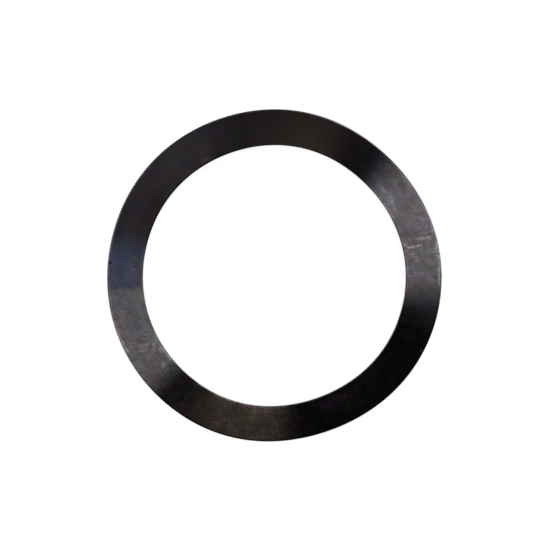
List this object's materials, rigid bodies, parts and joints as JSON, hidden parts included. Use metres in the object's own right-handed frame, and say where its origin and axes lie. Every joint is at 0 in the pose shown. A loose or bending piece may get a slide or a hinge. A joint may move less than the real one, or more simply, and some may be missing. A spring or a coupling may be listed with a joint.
{
  "type": "bottom bracket wave washer",
  "caption": "Thin blackened spring-steel ring pressed into even waves, which takes up end play on a bicycle's crank spindle as it is squeezed flat.",
  "frame": {"origin": "on the axis of the hole, halfway up the free washer", "axes": "+Z along the spindle, out of the side with the rounded edges; +X points at one crest"},
  "size_m": [0.0384, 0.0384, 0.0038],
  "materials": {
    "blackened_steel": "blackened spring steel, satin with fine grain, oiled"
  },
  "bodies": {
    "root": {"wave_washer": "blackened_steel"}
  },
  "joints": []
}
